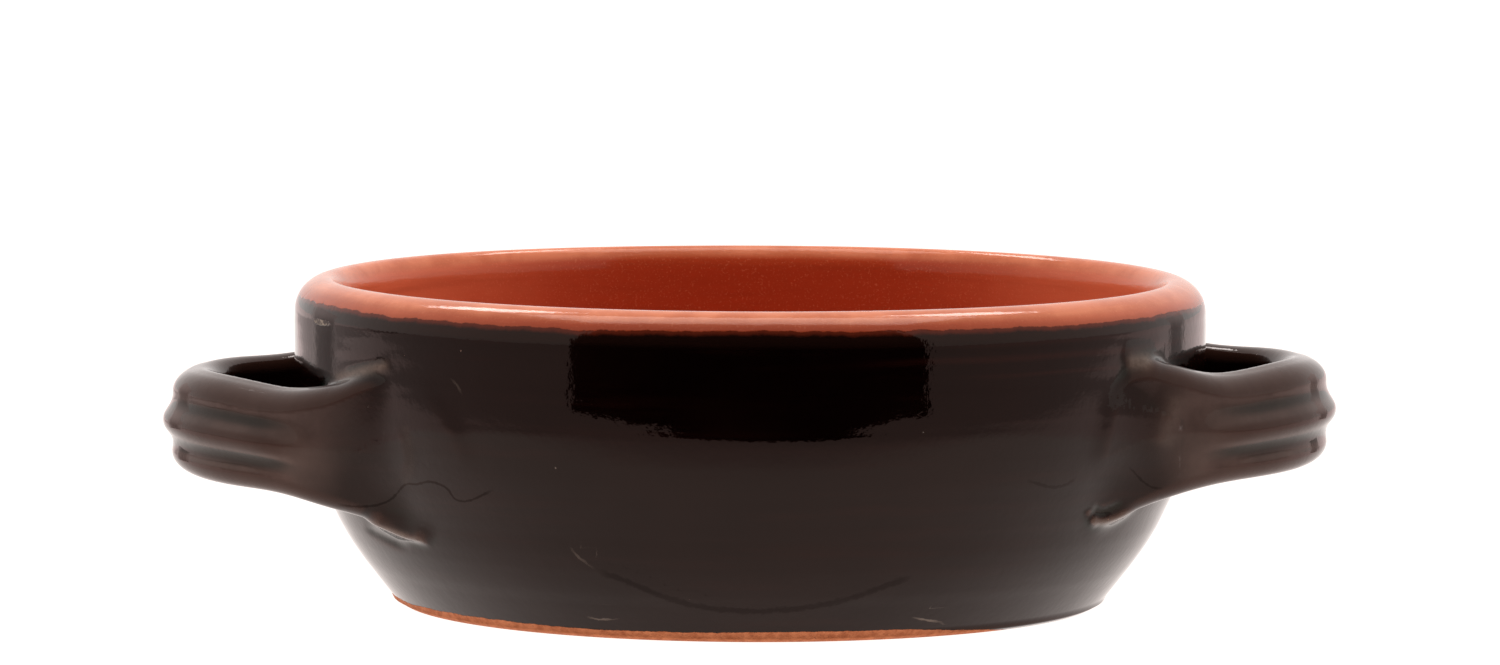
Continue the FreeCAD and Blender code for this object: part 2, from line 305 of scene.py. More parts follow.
# fine dark seams and pale hair lines in the glaze: strength (negative is pale), width, points
SEAMS = [
    (0.46, 1.1, [(-70.6, 20.9), (-68.2, 20.7), (-65.7, 20.8), (-62.5, 21.5), (-60.1, 23.2), (-57.9, 25.5), (-56.5, 25.6), (-54.5, 26.3), (-52.2, 26.1),
     (-50.6, 25.1), (-49.7, 23.8), (-48.3, 23.4), (-46.8, 23.8), (-44.8, 24.9), (-42.7, 26.1)]),
    (0.34, 1.1, [(64.3, 28.7), (66.2, 26.6), (68.4, 24.7), (71.1, 24.2)]),
    (0.25, 1.4, [(46.5, 27.8), (48.7, 26.9), (51.7, 26.1), (53.9, 26.6), (55.3, 27.8)]),
    (0.30, 2.8, [(-25.0, 12.4), (-19.9, 10.7), (-13.9, 8.2), (-6.1, 6.4), (1.0, 5.95), (8.8, 6.5), (15.9, 7.8), (21.9, 9.9), (27.0, 11.6)]),
    (-0.7, 1.0, [(-27.4, 3.9), (-25.0, 3.5), (-22.6, 3.8)]),
    (-0.7, 1.0, [(27.6, 4.0), (30.2, 3.3), (33.0, 2.7)]),
    (-0.3, 1.0, [(-30.0, 16.6), (-28.3, 14.6), (-25.7, 12.9)]),
    (-0.25, 1.0, [(-50.3, 44.6), (-49.0, 43.3), (-48.2, 41.8)]),
]
# places where the glaze is worn thin over an edge, and one painted highlight (the pale vertical streak beside the right
# pad): strength, width, points
WORN_AND_HIGHLIGHT = [
    (0.85, 0.75, [(-71.6, 42.0), (-66.4, 44.0), (-63.0, 45.2), (-60.6, 45.8)]),
    (0.85, 1.25, [(63.4, 46.2), (66.0, 46.4), (69.0, 46.2)]),
    (0.5, 0.6, [(-63.1, 17.4), (-60.4, 16.4), (-57.4, 15.8)]),
    # painted highlight: a soft pale vertical streak standing in for light caught on the fold beside the right pad
    (0.22, 1.7, [(73.2, 41.0), (72.4, 38.5), (71.4, 35.0), (70.6, 31.0)]),
    (0.5, 0.5, [(58.4, 18.6), (61.7, 18.6), (64.8, 19.6)]),
    (0.10, 0.8, [(-58.3, 36.5), (-57.6, 32.0), (-57.6, 27.5), (-59.0, 24.5)]),
]


class Pot:
    def __init__(self):
        self.sec = Line(section(), pad=34.0, window=6)
        self.left = Handle(LEFT, -1.0)
        self.right = Handle(RIGHT, 1.0)

    def bowl(self, x, y, z):
        return self.sec.near(np.sqrt(x * x + y * y), z)[1]

    def strap(self, x, y, z):
        h = np.where(x < 0, self.left(x, y, z), self.right(x, y, z))
        return np.maximum(h, 73.0 - np.sqrt(x * x + y * y))

    def throwing(self, x, y, z):
        """Shallow rings left by throwing, on the outer wall only."""
        r = np.sqrt(x * x + y * y)
        t = np.arctan2(y, x)
        on = smoothstep(r, 72.5 - 0.18 * (57 - z), 74.5 - 0.18 * (57 - z)) * smoothstep(z, 3.0, 8.0) * (1 - smoothstep(z, 49.5, 52.5))
        w = z + 0.5 * np.sin(t + 0.8) + 0.25 * np.sin(2 * t + 2.0)
        f = (0.014 * np.sin(w * 0.93 + 0.7) + 0.008 * np.sin(w * 1.63 + 2.1 + 0.6 * np.sin(t)) + 0.02 * np.sin(w * 0.51 + 1.0)
             + 0.003 * np.sin(w * 2.7 + 0.3 + np.sin(2 * t)))
        return f * on

    def wobble(self, x, y, z):
        t = np.arctan2(y, x)
        return (0.10 * np.sin(2 * t + 1.1) + 0.07 * np.sin(3 * t + 0.4) + 0.04 * np.sin(5 * t + 2.0)) * smoothstep(z, 6.0, 30.0)

    def marks(self, x, y, z):
        shape = np.shape(x)
        X, Y, Z = np.ravel(x), np.ravel(y), np.ravel(z)
        o = np.zeros(X.shape)
        for i, m in enumerate(MARKS):
            pick = (X > m.lo[0]) & (X < m.hi[0]) & (Z > m.lo[1]) & (Z < m.hi[1]) & (Y < -18)
            if pick.any():
                o[pick] += m(X[pick], Z[pick])
            if i in BACK:       # the back has its own, a little different
                pick = (X > m.lo[0]) & (X < m.hi[0]) & (Z > m.lo[1]) & (Z < m.hi[1]) & (Y > 18)
                if pick.any():
                    o[pick] += 0.8 * m(X[pick] * 1.006, Z[pick] + 0.4)
        # on the outside only: nothing shows on the inner wall
        outside = np.interp(Z, [q[1] for q in OUTER], [q[0] for q in OUTER]) - 4.0
        o *= smoothstep(np.sqrt(X * X + Y * Y), outside - 1.0, outside + 1.0)
        return o.reshape(shape)

    def __call__(self, x, y, z):
        d = self.bowl(x, y, z) - self.throwing(x, y, z)
        return smin(d, self.strap(x, y, z), BLEND - 2.7 * smoothstep(z, 29.0, 46.0)) - self.marks(x, y, z) - self.wobble(x, y, z) * 0.5


# ================================================================ the mesh: nets on a cylindrical lattice, drawn onto the surface
N_AROUND = 320


def lattice():
    a = np.linspace(0, 2 * np.pi, 4001)
    c = np.abs(np.cos(a))
    c0, c1 = math.cos(math.radians(48)), math.cos(math.radians(60))
    step = np.where(c > c0, 1.0, np.where(c > c1, 1.0 + 1.1 * (c0 - c) / (c0 - c1), 2.1))
    cum = np.concatenate([[0], np.cumsum((1 / step[1:] + 1 / step[:-1]) / 2 * np.diff(a))])
    th = np.interp(np.arange(N_AROUND) * cum[-1] / N_AROUND, cum, a)
    r = np.concatenate([np.arange(45.0, 62.0, 2.2), np.arange(62.4, 70.0, 1.5), np.arange(70.3, 84.0, 1.05), np.arange(84.2, 107.5, 1.3)])
    z = np.concatenate([np.arange(-1.9, 13.5, 1.5), np.arange(14.4, 47.5, 1.35), np.arange(48.0, 59.5, 0.86)])
    return th, r, z


def nets(field, th, r, z):
    nt, nr, nz = len(th), len(r), len(z)
    F = np.empty((nt, nr, nz))
    T, R = np.meshgrid(th, r, indexing="ij")
    X, Y = R * np.cos(T), R * np.sin(T)
    for k in range(nz):
        F[:, :, k] = field(X, Y, np.full_like(X, z[k]))
    tw = np.append(th, th[0] + 2 * np.pi)
    G = np.concatenate([F, F[:1]], 0)
    pos = G > 0
    acc = np.zeros((nt, nr - 1, nz - 1, 3))
    cnt = np.zeros((nt, nr - 1, nz - 1))
    coords = (tw, r, z)
    for a in [(i, j, k) for i in (0, 1) for j in (0, 1) for k in (0, 1)]:
        for ax in range(3):
            if a[ax]:
                continue
            b = list(a)
            b[ax] = 1
            fa = G[a[0]:nt + a[0], a[1]:nr - 1 + a[1], a[2]:nz - 1 + a[2]]
            fb = G[b[0]:nt + b[0], b[1]:nr - 1 + b[1], b[2]:nz - 1 + b[2]]
            m = (fa > 0) != (fb > 0)
            t = np.where(m, fa / np.where(m, fa - fb, 1), 0)
            cnt += m
            for q in range(3):
                ca = coords[q][a[q]:a[q] + acc.shape[q]]
                cb = coords[q][b[q]:b[q] + acc.shape[q]]
                sh = [1, 1, 1]
                sh[q] = -1
                ca, cb = ca.reshape(sh), cb.reshape(sh)
                acc[..., q] += np.where(m, ca + t * (cb - ca), 0)
    live = cnt > 0
    idx = np.full(live.shape, -1)
    idx[live] = np.arange(live.sum())
    P = acc[live] / cnt[live][:, None]
    quads = []
    m = pos[:nt, 1:-1, :-1] != pos[:nt, 1:-1, 1:]
    i, j, k = np.nonzero(m)
    up = pos[:nt, 1:-1, 1:][m]
    j = j + 1
    q = np.stack([idx[i - 1, j - 1, k], idx[i, j - 1, k], idx[i, j, k], idx[i - 1, j, k]], 1)
    quads.append(np.where(up[:, None], q[:, ::-1], q))
    m = pos[:nt, :-1, 1:-1] != pos[:nt, 1:, 1:-1]
    i, j, k = np.nonzero(m)
    up = pos[:nt, 1:, 1:-1][m]
    k = k + 1
    q = np.stack([idx[i - 1, j, k - 1], idx[i, j, k - 1], idx[i, j, k], idx[i - 1, j, k]], 1)
    quads.append(np.where(up[:, None], q, q[:, ::-1]))
    m = pos[:-1, 1:-1, 1:-1] != pos[1:, 1:-1, 1:-1]
    i, j, k = np.nonzero(m)
    up = pos[1:, 1:-1, 1:-1][m]
    j = j + 1
    k = k + 1
    q = np.stack([idx[i, j - 1, k - 1], idx[i, j, k - 1], idx[i, j, k], idx[i, j - 1, k]], 1)
    quads.append(np.where(up[:, None], q[:, ::-1], q))
    Q = np.concatenate(quads)
    V = np.stack([P[:, 1] * np.cos(P[:, 0]), P[:, 1] * np.sin(P[:, 0]), P[:, 2]], 1)
    rings = [idx[:, 0, k] for k in range(nz - 1) if (idx[:, 0, k] >= 0).all()]
    return V, Q, rings


def gradient(field, P, e=0.03):
    g = np.empty_like(P)
    for a in range(3):
        d = np.zeros(3)
        d[a] = e
        g[:, a] = field(*(P + d).T) - field(*(P - d).T)
    return g / (2 * e)


def project(field, P, times=2, cap=0.8):
    for _ in range(times):
        f = field(*P.T)
        g = gradient(field, P)
        n2 = np.maximum((g * g).sum(1), 0.05)
        P = P - np.clip(f / n2, -cap, cap)[:, None] * g
    return P


def relax(V, Q, field, fixed, times=3, w=0.5):
    n = len(V)
    e = np.concatenate([Q[:, [0, 1]], Q[:, [1, 2]], Q[:, [2, 3]], Q[:, [3, 0]]])
    for _ in range(times):
        s = np.zeros_like(V)
        c = np.zeros(n)
        for a in (0, 1):
            for q in range(3):
                s[:, q] += np.bincount(e[:, a], V[e[:, 1 - a], q], n)
            c += np.bincount(e[:, a], minlength=n)
        d = s / np.maximum(c, 1)[:, None] - V
        g = gradient(field, V)
        g /= np.linalg.norm(g, axis=1)[:, None]
        d -= (d * g).sum(1)[:, None] * g
        d[fixed] = 0
        V = project(field, V + w * d, 1)
    return V


def subdivide(V, Q, pick):
    """Splits the picked quads in four. A neighbour with a split side becomes a fan round its own middle."""
    E = np.concatenate([Q[:, [0, 1]], Q[:, [1, 2]], Q[:, [2, 3]], Q[:, [3, 0]]])
    key = np.sort(E, 1)
    n = len(V)
    uniq, inv = np.unique(key[:, 0].astype(np.int64) * n + key[:, 1], return_inverse=True)
    inv = inv.reshape(4, -1).T
    split = np.zeros(len(uniq), bool)
    split[inv[pick].ravel()] = True
    ea, eb = uniq // n, uniq % n
    mid = np.full(len(uniq), -1)
    mid[split] = n + np.arange(split.sum())
    new = (V[ea[split]] + V[eb[split]]) / 2
    n1 = n + len(new)
    count = split[inv].sum(1)
    need = count > 0
    cen = np.full(len(Q), -1)
    cen[need] = n1 + np.arange(need.sum())
    V2 = np.concatenate([V, new, V[Q[need]].mean(1)])
    quads = [Q[~need]]
    p = np.nonzero(count == 4)[0]
    for s in range(4):
        quads.append(np.stack([Q[p, s], mid[inv[p, s]], cen[p], mid[inv[p, s - 1]]], 1))
    tris = []
    f = np.nonzero(need & (count < 4))[0]
    for s in range(4):
        a, b, m, c = Q[f, s], Q[f, (s + 1) % 4], mid[inv[f, s]], cen[f]
        has = m >= 0
        tris.append(np.stack([a[~has], b[~has], c[~has]], 1))
        tris.append(np.stack([a[has], m[has], c[has]], 1))
        tris.append(np.stack([m[has], b[has], c[has]], 1))
    return V2, np.concatenate(quads), np.concatenate(tris), n


def close_disc(V, ring, radii, height):
    """Rings of fewer and fewer points from the ring in to the middle."""
    tris = []
    new = []
    cur = np.array(ring)
    ang = np.unwrap(np.arctan2(V[cur, 1], V[cur, 0]))
    n0 = len(V)
    for r in radii:
        m = len(cur)
        nxt_ang = ang[::2]
        k = m // 2
        ids = n0 + len(new) + np.arange(k)
        for a in nxt_ang:
            new.append((r * math.cos(a), r * math.sin(a), height(r)))
        i = np.arange(k)
        a0, a1, a2 = cur[2 * i], cur[2 * i + 1], cur[(2 * i + 2) % m]
        b0, b1 = ids[i], ids[(i + 1) % k]
        tris += [np.stack([a0, a1, b0], 1), np.stack([a1, b1, b0], 1), np.stack([a1, a2, b1], 1)]
        cur, ang = ids, nxt_ang
    c = n0 + len(new)
    new.append((0.0, 0.0, height(0.0)))
    k = len(cur)
    i = np.arange(k)
    tris.append(np.stack([cur[i], cur[(i + 1) % k], np.full(k, c)], 1))
    return np.array(new), np.concatenate(tris)


def build_mesh():
    pot = Pot()
    th, r, z = lattice()
    V, Q, rings = nets(pot, th, r, z)
    V = project(pot, V, 3)
    fixed = np.zeros(len(V), bool)
    for c in rings:
        fixed[c] = True
    V = relax(V, Q, pot, fixed, 3)
    cen = V[Q].mean(1)
    near = pot.strap(*cen.T)
    rr = np.hypot(cen[:, 0], cen[:, 1])
    pick = (near < 0.9) & (rr > 70)
    for i, m in enumerate(MARKS[:-1]):
        inside = (cen[:, 0] > m.lo[0] + 6.0) & (cen[:, 0] < m.hi[0] - 6.0) & (cen[:, 2] > m.lo[1] + 6.0) & (cen[:, 2] < m.hi[1] - 6.0) & (rr > 64) & (np.abs(cen[:, 1]) > 18)
        pick |= inside
    V, Q, T, n_old = subdivide(V, Q, pick)
    V = project(pot, V, 2)
    # bottom ring: counter-clockwise seen from below; top ring: the floor of the bowl
    rings = sorted(rings, key=lambda c: V[c, 2].mean())
    t, f = spline(INNER, (0.0, -1.0), (-1.0, 0.0))
    prof = f(np.linspace(0, t[-1], 800))
    floor_z = lambda q: float(np.interp(q, prof[::-1, 0], prof[::-1, 1]))
    low = rings[0]
    V[low, 2] = 0.0
    n1, t1 = close_disc(V, low, (38.0, 30.0, 21.0, 13.0, 6.5), lambda q: 0.0)
    V = np.concatenate([V, n1])
    n2, t2 = close_disc(V, rings[-1], (38.0, 30.0, 21.0, 13.0, 6.5), floor_z)
    V = np.concatenate([V, n2])
    # the lattice runs counter-clockwise seen from above: the floor faces up, the base faces down
    tris = np.concatenate([T, t1[:, ::-1], t2])
    return pot, V, Q, tris


pot, V, Q, T = build_mesh()
G = gradient(pot, V)
NORMAL = G / np.maximum(np.linalg.norm(G, axis=1), 1e-9)[:, None]
rad = np.hypot(V[:, 0], V[:, 1])
flat = (V[:, 2] < 1e-6) & (rad < 61.0)
NORMAL[flat] = (0, 0, -1)
e = 0.9
lap = -6 * pot(*V.T)
for a in range(3):
    d = np.zeros(3)
    d[a] = e
    lap += pot(*(V + d).T) + pot(*(V - d).T)
CURVE = np.clip(lap / (e * e), -1.5, 1.5)

# where the orange rim's clear glaze meets the brown, where the brown stops above the foot, and the fine seams
ang = np.arctan2(V[:, 0], -V[:, 1])          # 0 at the front, positive to the right
rim_line = (V[:, 2] - (53.85 - 0.40 * np.sin(ang) + 0.16 * np.sin(ang * 2 + 0.5) + 0.12 * np.sin(ang * 5 + 1.0) + 0.08 * np.sin(ang * 11 + 2.0)
                       + 0.05 * np.sin(ang * 23 + 0.3)))
outer_r = np.interp(V[:, 2], [p[1] for p in OUTER], [p[0] for p in OUTER])
rim_line = np.where((rad < outer_r - 3.2) & (V[:, 2] > 5.0), np.maximum(rim_line, 4.0), rim_line)
foot_line = (1.78 + 0.12 * np.sin(ang * 3 + 0.4) + 0.10 * np.sin(ang * 7 + 1.0)
             - 2.3 * smoothstep(ang, 0.38, 0.98) * (1 - smoothstep(ang, 1.9, 2.6))) - V[:, 2]


def near_line(pts, reach=3.5):
    line = Line(path(pts), cell=0.4, pad=6.0, window=4)
    lo, hi = np.min(pts, 0) - reach, np.max(pts, 0) + reach
    p = np.nonzero((V[:, 0] > lo[0]) & (V[:, 0] < hi[0]) & (V[:, 2] > lo[1]) & (V[:, 2] < hi[1]) & (V[:, 1] < -20))[0]
    along, dist = line.near(V[p, 0], V[p, 2])
    ends = smoothstep(along, 0.0, 1.6) * (1 - smoothstep(along, line.s[-1] - 1.6, line.s[-1]))
    return p, dist, ends


seam = np.full(len(V), 3.0)
seam_on = np.zeros(len(V))
for strength, width, pts in SEAMS:
    p, dist, ends = near_line(pts)
    p, dist, ends = (q[np.abs(dist) < np.abs(seam[p])] for q in (p, dist, ends))
    seam[p] = dist / width
    seam_on[p] = strength * ends * (1 - smoothstep(np.abs(dist), 1.7, 2.8))
worn_and_highlight = np.zeros(len(V))
for strength, width, pts in WORN_AND_HIGHLIGHT:
    p, dist, ends = near_line(pts, 5.0)
    worn_and_highlight[p] = np.maximum(worn_and_highlight[p], strength * ends * np.exp(-(dist / width) ** 2))


outward = (NORMAL[:, 0] * V[:, 0] + NORMAL[:, 1] * V[:, 1]) / np.maximum(rad, 1.0)
# the straps' outer faces get a paler brown: partly the glaze's own colour, partly painted light; the lower half is
# paler still as a painted highlight, and the inner faces keep the near-black glaze as painted shade in the opening
# between strap and wall
lower_strap_painted_highlight = 1 - smoothstep(V[:, 2], 26.0, 33.0)
strap_tint_and_painted_light = smoothstep(rad, 80.5, 87.5) * smoothstep(outward, -0.35, 0.10) * (1 + 0.38 * lower_strap_painted_highlight)


def make_object(name, V, Q, T, normals, attributes):
    me = bpy.data.meshes.new(name)
    nq, nt = len(Q), len(T)
    loops = np.concatenate([Q.ravel(), T.ravel()]).astype(np.int32)
    starts = np.concatenate([np.arange(nq) * 4, nq * 4 + np.arange(nt) * 3]).astype(np.int32)
    me.vertices.add(len(V))
    me.vertices.foreach_set("co", (V / 1000.0).astype(np.float32).ravel())
    me.loops.add(len(loops))
    me.loops.foreach_set("vertex_index", loops)
    me.polygons.add(nq + nt)
    me.polygons.foreach_set("loop_start", starts)
    me.polygons.foreach_set("use_smooth", np.ones(nq + nt, bool))
    me.update(calc_edges=True)
    me.validate()
    for key, values in attributes.items():
        at = me.attributes.new(key, "FLOAT", "POINT")
        at.data.foreach_set("value", values.astype(np.float32))
    me.normals_split_custom_set_from_vertices([tuple(n) for n in normals])
    o = bpy.data.objects.new(name, me)
    bpy.context.scene.collection.objects.link(o)
    return o


body = make_object("casserole_glazed", V, Q, T, NORMAL, {"rim_line": rim_line, "foot_line": foot_line, "seam": seam, "seam_on": seam_on,
                                                           "worn_and_highlight": worn_and_highlight, "curve": CURVE, "strap": strap_tint_and_painted_light})


# ================================================================ materials
class Nodes:
    """Small help to write a node tree line by line."""
    def __init__(self, tree):
        self.t = tree

    def new(self, kind, **props):
        n = self.t.nodes.new(kind)
        ins = props.pop("ins", {})
        for k, v in props.items():
            setattr(n, k, v)
        for k, v in ins.items():
            self.put(n.inputs[k], v)
        return n

    def put(self, socket, v):
        if isinstance(v, bpy.types.NodeSocket):
            self.t.links.new(v, socket)
        else:
            socket.default_value = v

    def math(self, op, a, b=0.0, c=0.0, clamp=False):
        n = self.t.nodes.new("ShaderNodeMath")
        n.operation = op
        n.use_clamp = clamp
        for s, v in zip(n.inputs, (a, b, c)):
            self.put(s, v)
        return n.outputs[0]

    def ramp(self, x, lo, hi, a=0.0, b=1.0, smooth=True):
        n = self.t.nodes.new("ShaderNodeMapRange")
        n.interpolation_type = "SMOOTHSTEP" if smooth else "LINEAR"
        for s, v in zip(("Value", "From Min", "From Max", "To Min", "To Max"), (x, lo, hi, a, b)):
            self.put(n.inputs[s], v)
        return n.outputs[0]

    def mix(self, f, a, b):
        n = self.t.nodes.new("ShaderNodeMix")
        n.data_type = "RGBA"
        n.clamp_factor = True
        self.put(n.inputs[0], f)
        self.put(n.inputs[6], a)
        self.put(n.inputs[7], b)
        return n.outputs[2]

    def noise(self, co, scale, detail=2.0, rough=0.5, lac=2.0):
        n = self.new("ShaderNodeTexNoise", ins={"Vector": co, "Scale": scale, "Detail": detail, "Roughness": rough, "Lacunarity": lac})
        return n.outputs["Fac"]

    def attr(self, name):
        return self.new("ShaderNodeAttribute", attribute_name=name).outputs["Fac"]


def rgb(r, g, b):
    return (r, g, b, 1.0)


def glaze_material():
    mat = bpy.data.materials.new("casserole_glaze")
    mat.use_nodes = True
    t = mat.node_tree
    t.nodes.clear()
    N = Nodes(t)
    out = N.new("ShaderNodeOutputMaterial")
    bsdf = N.new("ShaderNodeBsdfPrincipled")
    t.links.new(bsdf.outputs[0], out.inputs[0])
    co = N.new("ShaderNodeTexCoord").outputs["Object"]
    rim, foot, seam_d, seam_on, worn_and_highlight, curve, strap_tint_and_painted_light_at = (N.attr(k) for k in ("rim_line", "foot_line", "seam", "seam_on", "worn_and_highlight", "curve", "strap"))
    xyz = N.new("ShaderNodeSeparateXYZ", ins={0: co}).outputs

    # brown glaze: near black, red-brown where it is thin, grey-green where it has run together
    cloud = N.noise(co, 55.0, 3.0)
    fine = N.noise(co, 900.0, 3.0, 0.6)
    stretched = N.new("ShaderNodeVectorMath", operation="MULTIPLY", ins={0: co, 1: (26.0, 26.0, 420.0)}).outputs[0]
    bands = N.noise(stretched, 1.0, 3.0, 0.6)
    thin = N.ramp(curve, 0.04, 0.42)
    bare_edge = N.ramp(curve, 0.40, 0.95)
    pooled = N.ramp(curve, -0.03, -0.30)
    brown = N.mix(N.ramp(cloud, 0.35, 0.7), rgb(0.0020, 0.0004, 0.0003), rgb(0.0040, 0.0011, 0.0008))
    brown = N.mix(N.ramp(bands, 0.5, 0.74, 0.0, 0.45), brown, rgb(0.0105, 0.0022, 0.0014))
    # two red throwing lines high on the right of the front
    for z0, half, lo, hi, k in ((0.0487, 0.0009, 0.012, 0.040, 0.8), (0.0459, 0.0006, 0.030, 0.052, 0.6), (0.0511, 0.0006, 0.020, 0.052, 0.5)):
        off = N.math("ABSOLUTE", N.math("SUBTRACT", N.math("ADD", xyz[2], N.math("MULTIPLY", cloud, 0.0006)), z0 + 0.0003))
        here = N.math("MULTIPLY", N.ramp(off, 0.0, half, 1.0, 0.0), N.ramp(xyz[0], lo, hi))
        brown = N.mix(N.math("MULTIPLY", here, k), brown, rgb(0.016, 0.0032, 0.0020))
    # paler brown on the straps: the glaze's own colour and painted light (painted highlight low down, painted shade on
    # the inner faces)
    strap = N.math("MULTIPLY", strap_tint_and_painted_light_at, N.ramp(N.noise(co, 150.0, 3.0, 0.6), 0.25, 0.75, 0.65, 1.0))
    brown = N.mix(N.math("MULTIPLY", strap, 0.72), brown, rgb(0.094, 0.0600, 0.0495))
    brown = N.mix(N.math("MULTIPLY", thin, 0.75), brown, rgb(0.034, 0.0135, 0.0090))
    brown = N.mix(N.math("MULTIPLY", bare_edge, 0.6), brown, rgb(0.105, 0.066, 0.050))
    brown = N.mix(N.math("MULTIPLY", pooled, 0.85), brown, rgb(0.0040, 0.0080, 0.0062))
    # paler glaze worn thin over edges, plus the painted highlight streak beside the right pad
    wear_and_highlight = N.math("MULTIPLY", worn_and_highlight, N.ramp(fine, 0.30, 0.62, 0.85, 1.0))
    brown = N.mix(wear_and_highlight, brown, N.mix(N.ramp(fine, 0.35, 0.65), rgb(0.118, 0.083, 0.063), rgb(0.145, 0.105, 0.082)))
    apart = N.math("ADD", N.math("ABSOLUTE", seam_d), N.math("MULTIPLY", N.math("SUBTRACT", fine, 0.5), 0.42))
    line = N.ramp(apart, 0.08, 0.27, 1.0, 0.0)
    dark_line = N.math("MULTIPLY", line, N.math("MAXIMUM", seam_on, 0.0))
    pale_line = N.math("MULTIPLY", line, N.math("MAXIMUM", N.math("MULTIPLY", seam_on, -1.0), 0.0))
    brown = N.mix(dark_line, brown, rgb(0.0010, 0.0003, 0.0002))
    brown = N.mix(pale_line, brown, rgb(0.16, 0.125, 0.10))
    # light specks: pinholes and dust under the glaze
    vor = N.new("ShaderNodeTexVoronoi", feature="F1", ins={"Vector": co, "Scale": 310.0})
    pick = N.new("ShaderNodeSeparateColor", ins={0: vor.outputs["Color"]}).outputs
    size = N.ramp(pick[0], 0.86, 1.0, 0.0, 0.052, smooth=False)
    pit = N.math("LESS_THAN", vor.outputs["Distance"], size)
    brown = N.mix(N.math("MULTIPLY", pit, 0.7), brown, N.mix(pick[1], rgb(0.20, 0.10, 0.07), rgb(0.24, 0.21, 0.18)))
    # a small chip high on the left
    away = N.new("ShaderNodeVectorMath", operation="SUBTRACT", ins={0: co, 1: (-0.0737, -0.0310, 0.0512)}).outputs[0]
    away = N.new("ShaderNodeVectorMath", operation="MULTIPLY", ins={0: away, 1: (120.0, 235.0, 1750.0)}).outputs[0]
    far = N.math("ADD", N.new("ShaderNodeVectorMath", operation="LENGTH", ins={0: away}).outputs["Value"], N.math("MULTIPLY", N.math("SUBTRACT", fine, 0.5), 1.5))
    chip = N.ramp(far, 1.0, 0.80)
    brown = N.mix(chip, brown, N.mix(N.ramp(fine, 0.44, 0.58), rgb(0.020, 0.014, 0.010), rgb(0.30, 0.25, 0.19)))

    # orange-red clay under clear glaze, paler towards the crest
    warm = N.noise(co, 120.0, 4.0, 0.6)
    clay = N.mix(N.ramp(warm, 0.3, 0.7), rgb(0.33, 0.068, 0.027), rgb(0.42, 0.100, 0.042))
    clay = N.mix(N.ramp(rim, 0.0, 2.4), clay, N.mix(N.ramp(warm, 0.35, 0.65), rgb(0.53, 0.142, 0.062), rgb(0.63, 0.195, 0.094)))
    # painted light: the inside of the bowl is paler towards its left and right, standing in for the brighter light
    # falling there
    sides_painted_light = N.ramp(N.math("ABSOLUTE", N.math("ADD", xyz[0], N.math("MULTIPLY", N.math("SUBTRACT", cloud, 0.5), 0.02))), 0.022, 0.066)
    inside = N.mix(N.math("MULTIPLY", sides_painted_light, 0.85), rgb(0.435, 0.062, 0.0205), rgb(0.68, 0.185, 0.088))
    clay = N.mix(N.ramp(xyz[2], 0.0556, 0.0543), clay, inside)
    clay = N.mix(N.ramp(bands, 0.45, 0.75, 0.0, 0.22), clay, rgb(0.30, 0.040, 0.014))
    grain = N.noise(co, 2600.0, 2.0, 0.5)
    clay = N.mix(N.ramp(grain, 0.55, 0.75, 0.0, 0.30), clay, rgb(0.72, 0.26, 0.13))

    # bare clay under the edge of the glaze and over the base
    bare = N.mix(N.ramp(N.noise(co, 700.0, 4.0, 0.65), 0.3, 0.7), rgb(0.36, 0.105, 0.040), rgb(0.54, 0.185, 0.080))
    bare = N.mix(N.ramp(N.noise(co, 2200.0, 2.0), 0.6, 0.75, 0.0, 0.6), bare, rgb(0.20, 0.06, 0.03))

    wob = N.math("MULTIPLY", N.math("SUBTRACT", N.noise(co, 260.0, 5.0, 0.7), 0.5), 1.25)
    rim_e = N.math("ADD", rim, wob)
    foot_e = N.math("ADD", foot, N.math("MULTIPLY", wob, 0.6))
    is_rim = N.ramp(rim_e, -0.10, 0.14)
    fringe = N.math("MULTIPLY", N.ramp(rim_e, -0.95, -0.15), N.ramp(rim_e, 0.12, -0.12))
    near_rim = N.ramp(rim_e, 2.2, 0.1)
    is_foot = N.ramp(foot_e, -0.07, 0.07)
    base = N.mix(N.math("MULTIPLY", fringe, 0.8), brown, rgb(0.120, 0.018, 0.008))
    base = N.mix(is_rim, base, N.mix(N.math("MULTIPLY", near_rim, 0.7), clay, rgb(0.30, 0.052, 0.022)))
    base = N.mix(is_foot, base, bare)
    N.put(bsdf.inputs["Base Color"], base)
    # a seam is a crack in the gloss: it gives back nearly nothing
    N.put(bsdf.inputs["Metallic"], N.math("MULTIPLY", dark_line, N.math("SUBTRACT", 1.0, is_foot)))

    gloss = N.ramp(cloud, 0.3, 0.7, 0.040, 0.065)
    gloss = N.math("ADD", gloss, N.math("MULTIPLY", is_rim, 0.060))
    gloss = N.math("ADD", gloss, N.math("MULTIPLY", N.math("ADD", pit, N.math("ADD", chip, wear_and_highlight), clamp=True), 0.25))
    rough = N.new("ShaderNodeMix", data_type="FLOAT", ins={0: is_foot, 2: gloss, 3: 0.78}).outputs[0]
    N.put(bsdf.inputs["Roughness"], rough)
    bsdf.inputs["IOR"].default_value = 1.5
    bsdf.inputs["Specular IOR Level"].default_value = 0.25
    bsdf.inputs["Specular Tint"].default_value = rgb(1.0, 0.76, 0.68)

